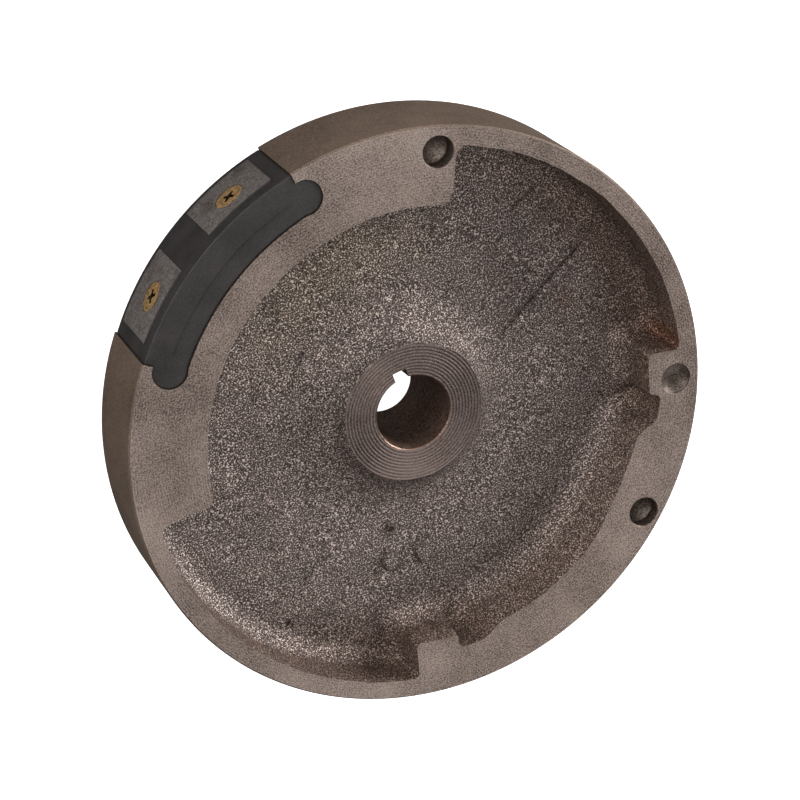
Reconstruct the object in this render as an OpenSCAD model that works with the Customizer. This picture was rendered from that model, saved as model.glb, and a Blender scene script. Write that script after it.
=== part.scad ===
// Cast-iron magneto flywheel with a magnet group let into the rim.
// The wheel's axis is Z. The machined face with the magnet slot looks up, the hub's back end sits at z = 0,
// and the keyway points along +Y. Angles run counter-clockwise seen from above, in degrees from +X.

/* [Rim] */
// Outside diameter of the rim
rim_d = 195; // [190:0.5:200]
// Width of the rim along the axis
rim_w = 31.75; // [30:0.25:34]
// Chamfer on the rim's outer edges
rim_edge = 0.5; // [0.2:0.1:1]
// Inside radius of the thin rim wall over the two open pockets
rim_in_r = 91.2; // [90.5:0.1:91.8]
// Inside radius of the rim's back ring, which carries the tapped holes
back_ring_r = 80; // [78:0.5:81]

/* [Web] */
// Depth of the front pocket's floor under the rim's front face
pocket_depth = 17.5; // [16:0.25:18.5]
// Thickness of the web
web_t = 9; // [8:0.5:10]
// Radius of the cast fillets at the foot of the pocket's walls
foot_r = 6; // [4:0.5:7]
// Radius of the flare that runs from the web up to the hub
flare_r = 20; // [16:1:22]

/* [Hub] */
// Diameter of the hub's machined front face
hub_d = 47; // [46:0.5:49]
// How far the hub's front face lies under the rim's front face
hub_recess = 9.6; // [9:0.1:10.5]
// How far the hub's back end stands out behind the rim
hub_proud = 8.65; // [8:0.05:9]
// Diameter of the hub's back end
hub_back_d = 42; // [40:0.5:44]
// Diameter of the tapered bore at its front mouth
bore_d = 25.4; // [25:0.1:26]
// Length over which the bore's diameter closes by 1 mm
taper_run = 8; // [7.5:0.5:9]
// Width of the keyway
key_w = 4.76; // [4:0.01:5]
// Depth of the keyway beyond the bore's wall
key_h = 2.9; // [2:0.1:3.2]

/* [Magnet pad] */
// Direction of the magnet group's centreline
magnet_angle = 120; // [118:1:122]
// Half of the angle that the wide machined pad covers
pad_half = 55.3; // [54:0.1:56]
// Inside radius of the pad
pad_in_r = 72.3; // [71:0.1:73]

/* [Magnet slot] */
// Half of the angle over which the slot opens through the rim
slot_open_half = 21.95; // [21.7:0.05:22]
// Angle from the centreline to the centre of the slot's round end
slot_end_half = 22.2; // [22.1:0.05:22.5]
// Radius to the middle of the slot's round ends
slot_mid_r = 88.2; // [88:0.05:88.5]
// Width of the slot between its round ends
slot_w = 10.8; // [10.5:0.1:11]
// Diameter of the slot's round ends
slot_end_d = 11.6; // [11.4:0.1:11.8]

/* [Magnet group] */
// Clearance between the carrier and the slot's walls
carrier_gap = 0.15; // [0.1:0.05:0.3]
// Recess of the carrier's outer face under the rim
carrier_sink = 0.7; // [0.5:0.1:1]
// Recess of the carrier's ends under the rim's faces
carrier_end_sink = 0.4; // [0.2:0.1:1]
// Angle from the centreline to the middle of each pole shoe
shoe_angle = 11.45; // [11:0.05:12]
// Angle that each pole shoe covers
shoe_span = 14.9; // [14:0.1:15.5]
// Length of a pole shoe along the axis
shoe_l = 23; // [22:0.1:23.5]
// Distance of the shoe's front end under the rim's front face
shoe_front = 4.9; // [4.5:0.1:5.3]
// Thickness of a pole shoe at its middle
shoe_t = 5.4; // [5:0.1:6]
// Width of a magnet block
magnet_w = 22; // [20:0.5:23]
// Thickness of a magnet block
magnet_t = 8; // [7:0.25:8.25]
// Diameter of the pole screw's head
screw_head_d = 9.8; // [9.4:0.1:10]
// Diameter of the pole screw's shank
screw_d = 4.8; // [4.5:0.1:5]
// Distance of the pole screws' centrelines under the rim's front face
screw_front = 14.9; // [14.5:0.1:16]
// Distance from the wheel's axis to the pole screw's tip
screw_tip_r = 75.5; // [75:0.1:77]

/* [Balance] */
// Half of the angle that the thick balance sector covers
weight_half = 32; // [30:0.5:34]
// Inside radius of the balance sector at the rim's front face
weight_in_r = 79; // [78:0.1:81]
// How much nearer the axis the sector's wall is at its foot
weight_draft = 3.5; // [2:0.5:5]
// Diameter of the drilled balance holes
balance_d = 10.3; // [9.5:0.1:10.5]

/* [Bosses and rear threads] */
// Distance from the axis to a boss's flat inner face
boss_flat_r = 79.4; // [78.5:0.1:80.5]
// Width of a boss
boss_w = 14.6; // [14:0.1:15]
// Inside radius of the narrow pocket on each side of the balance sector
notch_r = 83.4; // [83:0.1:85]
// Bolt circle of the tapped holes in the rim's back
thread_pcd = 176; // [175:0.5:177]
// Diameter of the tapped holes
thread_d = 5.1; // [5:0.1:5.5]
// Depth of the tapped holes
thread_depth = 12; // [10:0.5:13]

/* [Hidden] */
$fn = 96;

eps = 0.5;                                  // overlap that makes cuts run clear of a face
rim_r = rim_d / 2;
back_z = hub_proud;                         // rim's back face
front_z = hub_proud + rim_w;                // rim's front face
floor_z = front_z - pocket_depth;           // pocket floor at the rim
web_back_z = floor_z - web_t;
hub_z = front_z - hub_recess;               // hub's front face
hub_r = hub_d / 2;
bore_back_r = bore_d / 2 - hub_z / taper_run / 2;
flare_h = hub_z - floor_z;                  // height that the flare climbs
flare_run = sqrt(flare_r * flare_r - pow(flare_r - flare_h, 2));
weight_angle = magnet_angle + 180;
boss_angles = [weight_angle - 45, weight_angle + 45];
thread_angles = [for (i = [0 : 3]) weight_angle - 45 + 90 * i];
wall_skin = 1.2;                            // overlap of the inner sectors with the rim's wall
floor_skin = 2;                             // overlap of what stands on the web with the web
slot_in_r = slot_mid_r - slot_w / 2;
shoe_flat_r = rim_r - 0.1 - shoe_t;         // flat under the shoe
magnet_in_r = shoe_flat_r - magnet_t;
shoe_z = front_z - shoe_front - shoe_l;     // lower end of the shoes and magnets
screw_z = front_z - screw_front;
screw_head_h = (screw_head_d - screw_d) / 2;
// each balance hole: radius of its centre, direction, depth to the full diameter
balance_holes = [[89.0, 68.7, 6], [89.1, 343.1, 0.6], [90.4, 312.4, 4.5]];
drill_point = 118;

// A sector of a ring, made by turning the 2-D profile about the axis
module turned(from, sweep) {
  rotate([0, 0, from]) rotate_extrude(angle = sweep) children();
}

// A flat sector of radius r that serves as a 2-D mask
module sector_2d(r, from, sweep) {
  far = r / cos(sweep / 4);
  polygon([[0, 0], for (i = [0 : 2]) far * [cos(from + sweep * i / 2), sin(from + sweep * i / 2)]]);
}

// Material left in the corner between a floor and a wall that rises on the right, leaning away from it
module foot_fillet(r, lean = 0) {
  run = r / tan((90 + lean) / 2);
  difference() {
    polygon([[-run, 0], [0, 0], [run * sin(lean), run * cos(lean)], [-run, r]]);
    translate([-run, r]) circle(r);
  }
}

module flare_2d() {
  difference() {
    square([flare_run, flare_h]);
    translate([flare_run, flare_r]) circle(flare_r);
  }
}

// The rim as cast, a little wider than the finished one
module rim_2d() {
  polygon([
    [rim_in_r, web_back_z], [back_ring_r, web_back_z], [back_ring_r, back_z - eps], [rim_r, back_z - eps],
    [rim_r, front_z + eps], [rim_in_r, front_z + eps]
  ]);
}

// Faces both sides of the rim and breaks its outer edges
module facing_cuts() {
  past = 3;
  rotate_extrude() {
    polygon([
      [0, front_z], [rim_r - rim_edge, front_z], [rim_r + past, front_z - rim_edge - past],
      [rim_r + past, front_z + past], [0, front_z + past]
    ]);
    polygon([
      [pad_in_r - past, back_z], [rim_r - rim_edge, back_z], [rim_r + past, back_z + rim_edge + past],
      [rim_r + past, back_z - past], [pad_in_r - past, back_z - past]
    ]);
  }
}

// Half section of the hub, web and thin rim
module wheel_2d() {
  square([hub_back_d / 2, web_back_z + eps]);
  translate([0, web_back_z]) square([hub_r, hub_z - web_back_z]);
  translate([0, web_back_z]) square([rim_in_r + wall_skin, web_t]);
  translate([hub_r, floor_z]) flare_2d();
  translate([hub_back_d / 2, web_back_z]) mirror([0, 1]) mirror([1, 0]) foot_fillet(foot_r / 2);
  translate([back_ring_r, web_back_z]) mirror([0, 1]) foot_fillet(foot_r / 2);
  translate([rim_in_r, floor_z]) foot_fillet(foot_r);
  rim_2d();
}

module pad_2d() {
  translate([pad_in_r, back_z - eps]) square([rim_r - wall_skin - pad_in_r, rim_w + 2 * eps]);
  translate([pad_in_r, floor_z]) foot_fillet(foot_r);
}

module weight_2d() {
  polygon([
    [weight_in_r, front_z + eps], [weight_in_r - weight_draft, floor_z],
    [weight_in_r - weight_draft, floor_z - floor_skin], [rim_in_r + 2 * wall_skin, floor_z - floor_skin],
    [rim_in_r + 2 * wall_skin, front_z + eps]
  ]);
  translate([weight_in_r - weight_draft, floor_z]) foot_fillet(foot_r, atan(weight_draft / pocket_depth));
}

module notch_fill_2d() {
  translate([notch_r, floor_z - floor_skin / 2])
    square([rim_in_r + wall_skin - notch_r, pocket_depth + floor_skin / 2 + eps]);
}

// Bosses stand inside the rim, with flat faces towards the axis
module boss(direction) {
  rotate([0, 0, direction]) translate([boss_flat_r, -boss_w / 2, floor_z - floor_skin / 4])
    cube([rim_in_r + wall_skin / 2 - boss_flat_r, boss_w, pocket_depth + floor_skin / 4 + eps]);
}

// The slot's curved band with its round ends, shrunk by a clearance
module slot_2d(gap) {
  half_w = slot_w / 2 - gap;
  for (side = [-1, 1])
    rotate(magnet_angle + side * slot_end_half) translate([slot_mid_r, 0]) circle(slot_end_d / 2 - gap);
  intersection() {
    difference() {
      circle(slot_mid_r + half_w);
      circle(slot_mid_r - half_w);
    }
    sector_2d(rim_r, magnet_angle - slot_end_half, 2 * slot_end_half);
  }
}

// The slot's wide mouth through the outside of the rim
module mouth_2d(outer_r, gap) {
  gap_angle = asin(gap / slot_mid_r);
  intersection() {
    difference() {
      circle(outer_r);
      circle(slot_mid_r);
    }
    sector_2d(rim_d, magnet_angle - slot_open_half + gap_angle, 2 * (slot_open_half - gap_angle));
  }
}

module tapered_bore() {
  translate([0, 0, -eps])
    cylinder(h = hub_z + 2 * eps, r1 = bore_back_r - eps / taper_run / 2, r2 = bore_d / 2 + eps / taper_run / 2);
}

// The keyway's floor follows the bore's taper
module keyway() {
  translate([key_w / 2, 0, 0]) rotate([90, 0, -90]) linear_extrude(key_w)
    polygon([
      [0, -eps], [-bore_back_r - key_h, -eps], [-bore_d / 2 - key_h, hub_z + eps], [0, hub_z + eps]
    ]);
}

module blind_hole(r, depth) {
  rotate_extrude() polygon([[0, eps], [r, eps], [r, -depth], [0, -depth - r / tan(drill_point / 2)]]);
}

// Places children on the radial line of a pole screw, with +Z pointing outwards
module on_screw_line(side) {
  rotate([0, 0, magnet_angle + side * shoe_angle]) translate([0, 0, screw_z]) rotate([0, 90, 0]) children();
}

module flywheel_casting() {
  color([0.36, 0.32, 0.29]) difference() {
    union() {
      rotate_extrude() wheel_2d();
      turned(magnet_angle - pad_half, 2 * pad_half) pad_2d();
      turned(weight_angle - weight_half, 2 * weight_half) weight_2d();
      turned(boss_angles[0], 2 * 45) notch_fill_2d();
      for (a = boss_angles) boss(a);
    }
    facing_cuts();
    tapered_bore();
    keyway();
    translate([0, 0, back_z - 2 * eps]) linear_extrude(rim_w + 4 * eps) {
      slot_2d(0);
      mouth_2d(rim_d, 0);
    }
    for (side = [-1, 1]) on_screw_line(side)
      translate([0, 0, screw_tip_r - 1]) cylinder(h = slot_mid_r - screw_tip_r, d = screw_d + 0.04);
    for (hole = balance_holes)
      rotate([0, 0, hole[1]]) translate([hole[0], 0, front_z]) blind_hole(balance_d / 2, hole[2]);
    for (a = thread_angles)
      rotate([0, 0, a]) translate([thread_pcd / 2, 0, back_z]) rotate([180, 0, 0])
        blind_hole(thread_d / 2, thread_depth);
  }
}

// A straight block under one pole shoe, grown by a clearance
module magnet_block(side, gap) {
  rotate([0, 0, magnet_angle + side * shoe_angle])
    translate([magnet_in_r - gap, -magnet_w / 2 - gap, shoe_z - gap])
      cube([magnet_t + 2 * gap, magnet_w + 2 * gap, shoe_l + 2 * gap]);
}

// Pole shoe blank: round outside, flat underneath, grown by a clearance
module shoe_block(side, outer_r, gap) {
  span = shoe_span + 2 * asin(gap / rim_r);
  intersection() {
    translate([0, 0, shoe_z - gap]) linear_extrude(shoe_l + 2 * gap) intersection() {
      circle(outer_r);
      sector_2d(rim_d, magnet_angle + side * shoe_angle - span / 2, span);
    }
    rotate([0, 0, magnet_angle + side * shoe_angle])
      translate([shoe_flat_r, -rim_r / 2, shoe_z - 1]) cube([rim_r, rim_r, shoe_l + 2]);
  }
}

module screw_hole(side) {
  on_screw_line(side) translate([0, 0, slot_in_r - 3]) cylinder(h = rim_r - slot_in_r + 4, d = screw_d + 0.4);
}

module magnet_carrier() {
  gap = 0.05;
  color([0.17, 0.17, 0.18]) difference() {
    translate([0, 0, back_z + carrier_end_sink]) linear_extrude(rim_w - 2 * carrier_end_sink) {
      slot_2d(carrier_gap);
      mouth_2d(rim_r - carrier_sink, carrier_gap);
    }
    for (side = [-1, 1]) {
      magnet_block(side, gap);
      shoe_block(side, rim_d, gap);
      screw_hole(side);
    }
  }
}

module magnet(side) {
  color([0.28, 0.28, 0.3]) difference() {
    magnet_block(side, 0);
    screw_hole(side);
  }
}

module pole_shoe(side) {
  color([0.48, 0.44, 0.42]) difference() {
    shoe_block(side, rim_r - 0.1, 0);
    screw_hole(side);
    on_screw_line(side) translate([0, 0, rim_r - 0.2 - screw_head_h])
      cylinder(h = screw_head_h + eps, r1 = screw_d / 2, r2 = screw_head_d / 2 + eps);
  }
}

module pole_screw(side) {
  head_top = rim_r - 0.45;
  recess_w = 1.2;
  recess_l = 5;
  recess_h = 1.6;
  color([0.69, 0.56, 0.31]) on_screw_line(side) difference() {
    union() {
      translate([0, 0, screw_tip_r]) cylinder(h = head_top - screw_tip_r - 0.1, d = screw_d);
      translate([0, 0, head_top - screw_head_h])
        cylinder(h = screw_head_h, r1 = screw_d / 2, r2 = screw_head_d / 2);
    }
    for (turn = [0, 90])
      rotate([0, 0, turn]) translate([-recess_l / 2, -recess_w / 2, head_top - recess_h])
        cube([recess_l, recess_w, recess_h + eps]);
  }
}

module magnet_leading() { magnet(1); }
module magnet_trailing() { magnet(-1); }
module pole_shoe_leading() { pole_shoe(1); }
module pole_shoe_trailing() { pole_shoe(-1); }
module pole_screw_leading() { pole_screw(1); }
module pole_screw_trailing() { pole_screw(-1); }

flywheel_casting();
magnet_carrier();
magnet_leading();
magnet_trailing();
pole_shoe_leading();
pole_shoe_trailing();
pole_screw_leading();
pole_screw_trailing();
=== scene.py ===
"""Looks of a cast-iron magneto flywheel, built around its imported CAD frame.

The wheel lies with its axis along Z, the machined face and the magnet slot looking up, and the hub's back
end on the floor. Sizes inside the classes are in millimetres and angles in degrees, counter-clockwise
from +X. Meshes are scaled to metres when they are finished.
"""

import logging
import math
from collections.abc import Callable
from dataclasses import dataclass, field
from enum import Enum
from functools import partial

import bmesh
import bpy
import numpy as np
from mathutils import Matrix, Vector, noise


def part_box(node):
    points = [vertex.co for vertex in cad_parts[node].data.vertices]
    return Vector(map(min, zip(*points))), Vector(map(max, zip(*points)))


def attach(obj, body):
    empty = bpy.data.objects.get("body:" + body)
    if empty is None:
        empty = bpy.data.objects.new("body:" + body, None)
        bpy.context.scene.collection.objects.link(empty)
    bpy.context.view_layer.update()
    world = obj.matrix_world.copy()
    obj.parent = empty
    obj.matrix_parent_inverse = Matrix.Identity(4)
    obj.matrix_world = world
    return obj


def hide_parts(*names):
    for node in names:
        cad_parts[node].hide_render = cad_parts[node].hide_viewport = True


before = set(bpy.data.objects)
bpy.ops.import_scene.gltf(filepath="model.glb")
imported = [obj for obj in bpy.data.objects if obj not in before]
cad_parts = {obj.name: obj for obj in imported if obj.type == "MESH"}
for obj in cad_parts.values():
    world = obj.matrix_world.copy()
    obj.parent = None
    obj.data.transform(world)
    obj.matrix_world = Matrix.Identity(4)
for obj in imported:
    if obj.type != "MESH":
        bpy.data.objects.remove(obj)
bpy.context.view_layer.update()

MM = 0.001
BODY = "root"
MIX_A, MIX_B = 6, 7  # inputs of a Mix node set to colour
BLEND = {"data_type": "RGBA", "out": 2}
MULTIPLY = {"blend_type": "MULTIPLY", **BLEND}
LOG = logging.getLogger("flywheel")

Points = np.ndarray
Piece = bpy.types.Object
Profile = list[tuple[float, float]]
Ring = list[tuple[float, float, float]]


class Cut(Enum):
    """What a tool does to the mesh that it is combined with."""

    KEEP = "INTERSECT"
    REMOVE = "DIFFERENCE"
    JOIN = "UNION"


class Side(Enum):
    """Which of the two magnets a piece belongs to, as its sense about the group's centreline."""

    LEADING = 1
    TRAILING = -1


# ---- colours and nodes


def linear(hex_colour: str) -> tuple[float, float, float, float]:
    """Turns an sRGB colour into the linear values that shaders work in.

    Args:
        hex_colour: Colour as "#rrggbb".

    Returns:
        Linear red, green and blue, and an alpha of 1.
    """
    channels = [int(hex_colour[i : i + 2], 16) / 255 for i in (1, 3, 5)]
    red, green, blue = [c / 12.92 if c <= 0.04045 else ((c + 0.055) / 1.055) ** 2.4 for c in channels]
    return red, green, blue, 1.0


def per_mm(size_mm: float) -> float:
    """Texture scale that draws features of size_mm on an object measured in metres."""
    return 1 / (size_mm * MM)


def add_node(
    tree: bpy.types.NodeTree, kind: str, links: dict | None = None, stops: list | None = None,
    out: str | int = 0, **settings
) -> bpy.types.NodeSocket | None:
    """Adds one shader node with its settings and links.

    Args:
        tree: Node tree that gets the node.
        kind: Node type, without the "ShaderNode" in front.
        links: Value or output socket for each input, by the input's name or number.
        stops: Position and sRGB colour of each stop, for a colour ramp.
        out: Name or number of the output that is wanted.
        **settings: Properties of the node.

    Returns:
        That output, or None where the node has none.
    """
    node = tree.nodes.new("ShaderNode" + kind)
    for key, value in settings.items():
        setattr(node, key, value)
    for socket, value in (links or {}).items():
        if isinstance(value, bpy.types.NodeSocket):
            tree.links.new(value, node.inputs[socket])
        else:
            node.inputs[socket].default_value = value
    if stops:
        elements = node.color_ramp.elements
        while len(elements) < len(stops):
            elements.new(1.0)
        for element, (position, colour) in zip(elements, stops):
            element.position = position
            element.color = linear(colour)
    return node.outputs[out] if node.outputs else None


# ---- finishes


@dataclass(frozen=True)
class Finish:
    """A surface, named for its material and how it was made."""

    name: str

    def surface(self, add: Callable) -> dict:
        """Builds the nodes of one finish. Each finish has its own way.

        Args:
            add: Adds one node, as add_node does, to the finish's own tree.

        Returns:
            Values and sockets for the Principled shader.
        """
        raise NotImplementedError

    def material(self) -> bpy.types.Material:
        """Builds the finish once, and returns it again when asked again."""
        if self.name in bpy.data.materials:
            return bpy.data.materials[self.name]
        material = bpy.data.materials.new(self.name)
        material.use_nodes = True
        material.node_tree.nodes.clear()
        add = partial(add_node, material.node_tree)
        add("OutputMaterial", {"Surface": add("BsdfPrincipled", self.surface(add))})
        return material


@dataclass(frozen=True)
class SandCastIron(Finish):
    """Grey iron as it left the sand mould, blasted and oiled.

    The eye gets a coarse dull grain in brownish greys, bright specks painted in as glints of the grain
    facets, and rust where oil and muck stay in the corners. Shade is painted into the creases and hollows,
    round the raised marks and on the walls.
    """

    name: str = "sand_cast_iron"
    hollow: str = "#282120"
    skin: str = "#6b5e59"
    crest: str = "#a99890"
    # painted glints: near-white specks in the colour
    painted_glint: str = "#f3e4da"
    # tint of the steep walls: partly the iron's browning, partly painted shade
    brown_and_shade: str = "#cdbcb0"
    rust: str = "#ffd2ac"
    olive: str = "#fbfada"
    # tint of the painted shade in creases, the pit and round raised marks, and of a painted shadow of the rim
    # wall
    painted_shade: str = "#6e635c"
    grain_mm: float = 0.46
    relief_mm: float = 0.34

    def surface(self, add: Callable) -> dict:
        """Grain in colour, roughness and relief, then the stains and the painted shade kept as vertex
        attributes.
        """
        place = add("TexCoord", out="Object")
        # sand grains are 0.2 mm: drawn as clusters of several, so that they show
        grain = add(
            "TexNoise", {"Vector": place, "Scale": per_mm(self.grain_mm), "Detail": 1.5, "Roughness": 0.6}
        )
        cloud = add("TexNoise", {"Vector": place, "Scale": per_mm(11.0), "Detail": 3.0, "Roughness": 0.55})
        # bright specks in the colour: painted glints of the grain facets
        painted_glint = add("TexNoise", {"Vector": place, "Scale": per_mm(self.grain_mm), "Detail": 0.0})
        colour = add(
            "ValToRGB", {"Fac": grain}, stops=[(0.33, self.hollow), (0.5, self.skin), (0.68, self.crest)]
        )
        painted_glint_share = add(
            "MapRange", {"Value": painted_glint, "From Min": 0.6, "From Max": 0.72, "To Min": 0.0, "To Max": 0.85}
        )
        colour = add("Mix", {0: painted_glint_share, MIX_A: colour, MIX_B: linear(self.painted_glint)}, **BLEND)
        shade = add(
            "MapRange", {"Value": cloud, "From Min": 0.3, "From Max": 0.7, "To Min": 0.84, "To Max": 1.14}
        )
        colour = add("Mix", {0: 1.0, MIX_A: colour, MIX_B: shade}, **MULTIPLY)
        # olive and rust are stains; the browning tint is partly painted shade, and the last tint is painted
        # shade
        for stain in ("brown_and_shade", "olive", "rust", "painted_shade"):
            amount = add("Attribute", attribute_name=stain, out="Fac")
            tint = linear(getattr(self, stain))
            colour = add("Mix", {0: amount, MIX_A: colour, MIX_B: tint}, **MULTIPLY)
        rough = add(
            "MapRange", {"Value": grain, "From Min": 0.3, "From Max": 0.7, "To Min": 0.72, "To Max": 0.46}
        )
        normal = add("Bump", {"Height": grain, "Distance": self.relief_mm * MM, "Strength": 1.0})
        return {"Base Color": colour, "Roughness": rough, "Metallic": 0.55, "Normal": normal}


@dataclass(frozen=True)
class TurnedIron(Finish):
    """Grey iron faced on a lathe.

    The eye gets a warm grey with fine grit from the open graphite, and rings left by the tool.
    """

    name: str = "turned_iron"
    dark: str = "#4e423b"
    bright: str = "#c6b3a8"
    ring_mm: float = 0.9
    ring_mm_deep: float = 0.008
    ring_shade: float = 0.03
    grit_mm: float = 0.48
    grit_mm_deep: float = 0.12
    off_centre_mm: float = 0.0
    rough: float = 0.5
    metallic: float = 0.85

    def surface(self, add: Callable) -> dict:
        """Rings about the wheel's axis over a fine grit."""
        place = add("TexCoord", out="Object")
        centre = add("Mapping", {"Vector": place, "Location": (self.off_centre_mm * MM, 0, 0)})
        # the tool's feed is 0.2 mm: drawn coarser, so that the rings show
        ring_scale = math.pi / 10 / (self.ring_mm * MM)
        rings = add(
            "TexWave",
            {"Vector": centre, "Scale": ring_scale, "Distortion": 0.5, "Detail": 1.0, "Detail Scale": 0.02},
            wave_type="RINGS",
            rings_direction="Z",
            out="Fac",
        )
        # graphite flakes are 0.1 mm: drawn coarser, so that the grit shows
        grit = add(
            "TexNoise", {"Vector": place, "Scale": per_mm(self.grit_mm), "Detail": 1.5, "Roughness": 0.6}
        )
        cloud = add("TexNoise", {"Vector": place, "Scale": per_mm(17.0), "Detail": 3.0, "Roughness": 0.6})
        ring_part = add("MapRange", {"Value": rings, "To Min": -self.ring_shade, "To Max": self.ring_shade})
        cloud_part = add(
            "MapRange", {"Value": cloud, "From Min": 0.3, "From Max": 0.7, "To Min": -0.07, "To Max": 0.07}
        )
        total = add("Math", {0: ring_part, 1: cloud_part}, operation="ADD")
        total = add("Math", {0: total, 1: grit}, operation="ADD")
        # brighter where the faced iron is rubbed, and a painted sheen on one side of the hub face
        wear_and_sheen = add("Attribute", attribute_name="wear_and_sheen", out="Fac")
        total = add("Math", {0: total, 1: wear_and_sheen}, operation="ADD")
        colour = add("ValToRGB", {"Fac": total}, stops=[(0.28, self.dark), (0.74, self.bright)])
        raised = add("Bump", {"Height": rings, "Distance": self.ring_mm_deep * MM, "Strength": 1.0})
        normal = add(
            "Bump", {"Height": grit, "Distance": self.grit_mm_deep * MM, "Strength": 1.0, "Normal": raised}
        )
        return {"Base Color": colour, "Roughness": self.rough, "Metallic": self.metallic, "Normal": normal}


@dataclass(frozen=True)
class MouldedPhenolic(Finish):
    """Phenolic moulded around the magnets, then dulled by handling.

    The eye gets a matt charcoal with a cool cast and a very fine dust.
    """

    name: str = "moulded_phenolic"
    dark: str = "#1e1a19"
    pale: str = "#363030"
    grit_mm: float = 0.7

    def surface(self, add: Callable) -> dict:
        """Two sizes of mottle in colour, the finer one in relief too."""
        place = add("TexCoord", out="Object")
        grit = add("TexNoise", {"Vector": place, "Scale": per_mm(self.grit_mm), "Detail": 2.0})
        mottle = add("TexNoise", {"Vector": place, "Scale": per_mm(9.0), "Detail": 3.0})
        mixed = add("Mix", {0: 0.5, 2: grit, 3: mottle}, data_type="FLOAT")
        colour = add("ValToRGB", {"Fac": mixed}, stops=[(0.35, self.dark), (0.65, self.pale)])
        normal = add("Bump", {"Height": grit, "Distance": 0.05 * MM, "Strength": 1.0})
        return {"Base Color": colour, "Roughness": 0.55, "IOR": 1.55, "Normal": normal}


@dataclass(frozen=True)
class GroundSteel(Finish):
    """Mild steel ground to size together with the rim.

    The eye gets a pinkish grey with fine lines along the grinding, light nicks and brownish stains.
    """

    name: str = "ground_steel"
    dark: str = "#6c625e"
    bright: str = "#b8afa9"
    nick: str = "#c9c2bc"
    stain: str = "#5d4a38"

    def surface(self, add: Callable) -> dict:
        """Grinding lines around the axis, nicks and stains."""
        place = add("TexCoord", out="Object")
        stretched = add("Mapping", {"Vector": place, "Scale": (0.35, 0.35, 2.2)})
        lines = add("TexNoise", {"Vector": stretched, "Scale": per_mm(0.8), "Detail": 2.0})
        grit = add("TexNoise", {"Vector": place, "Scale": per_mm(0.75), "Detail": 1.0})
        cloud = add("TexNoise", {"Vector": place, "Scale": per_mm(7.0), "Detail": 2.0})
        fine = add("Mix", {0: 0.6, 2: lines, 3: grit}, data_type="FLOAT")
        colour = add("ValToRGB", {"Fac": fine}, stops=[(0.32, self.dark), (0.68, self.bright)])
        nicks = add(
            "MapRange", {"Value": grit, "From Min": 0.7, "From Max": 0.78, "To Min": 0.0, "To Max": 0.7}
        )
        colour = add("Mix", {0: nicks, MIX_A: colour, MIX_B: linear(self.nick)}, **BLEND)
        stained = add(
            "MapRange", {"Value": cloud, "From Min": 0.52, "From Max": 0.72, "To Min": 0.0, "To Max": 0.5}
        )
        colour = add("Mix", {0: stained, MIX_A: colour, MIX_B: linear(self.stain)}, **BLEND)
        normal = add("Bump", {"Height": fine, "Distance": 0.05 * MM, "Strength": 1.0})
        return {"Base Color": colour, "Roughness": 0.5, "Metallic": 0.8, "Normal": normal}


@dataclass(frozen=True)
class TurnedBrass(Finish):
    """Brass screws, turned and dulled by age.

    The eye gets a tan yellow with a browner tone in the low places and small bright spots.
    """

    name: str = "turned_brass"
    dark: str = "#7d5f3a"
    yellow: str = "#d3ab74"

    def surface(self, add: Callable) -> dict:
        """Tarnish as mottle, in colour and roughness."""
        place = add("TexCoord", out="Object")
        mottle = add("TexNoise", {"Vector": place, "Scale": per_mm(0.9), "Detail": 2.0})
        colour = add("ValToRGB", {"Fac": mottle}, stops=[(0.3, self.dark), (0.6, self.yellow)])
        normal = add("Bump", {"Height": mottle, "Distance": 0.04 * MM, "Strength": 1.0})
        return {"Base Color": colour, "Roughness": 0.45, "Metallic": 0.6, "Normal": normal}


@dataclass(frozen=True)
class SinteredFerrite(Finish):
    """Hard ferrite, pressed, sintered and ground.

    The eye gets a near-black ceramic with a faint grey bloom and pores.
    """

    name: str = "sintered_ferrite"
    dark: str = "#262628"
    bloom: str = "#4a4a4e"

    def surface(self, add: Callable) -> dict:
        """Pores as cells, which darken the bloom."""
        place = add("TexCoord", out="Object")
        # pores are 0.1 mm: drawn coarser, so that they show
        pores = add("TexVoronoi", {"Vector": place, "Scale": per_mm(0.6)})
        colour = add("ValToRGB", {"Fac": pores}, stops=[(0.1, self.dark), (0.7, self.bloom)])
        normal = add("Bump", {"Height": pores, "Distance": 0.03 * MM, "Strength": 0.8})
        return {"Base Color": colour, "Roughness": 0.38, "IOR": 2.0, "Normal": normal}


@dataclass(frozen=True)
class WhiteSweep(Finish):
    """Matt white sweep under the wheel, lit through from below so that it stays white."""

    name: str = "white_sweep"
    white: str = "#f2f2f2"
    glow: float = 1.05

    def surface(self, add: Callable) -> dict:
        """Plain white with a glow of its own."""
        return {
            "Base Color": linear(self.white),
            "Roughness": 0.9,
            "Emission Color": linear("#ffffff"),
            "Emission Strength": self.glow,
        }


CAST_SKIN = SandCastIron()
FACED = TurnedIron()
HUB_FACED = TurnedIron(
    name="turned_hub_face", dark="#443936", bright="#96857e", ring_mm=1.07, ring_mm_deep=0.15,
    ring_shade=0.12, off_centre_mm=0.3, grit_mm_deep=0.04,
)
RIM_GROUND = TurnedIron(
    name="browned_rim", dark="#4d3e34", bright="#826f60", ring_mm_deep=0.0, ring_shade=0.0, grit_mm=0.6,
    grit_mm_deep=0.03, rough=0.6, metallic=0.35,
)
BORED = TurnedIron(
    name="reamed_bore", dark="#5a4439", bright="#a88c7d", ring_mm_deep=0.0, ring_shade=0.0, grit_mm=0.9,
    grit_mm_deep=0.03, rough=0.45,
)
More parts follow.
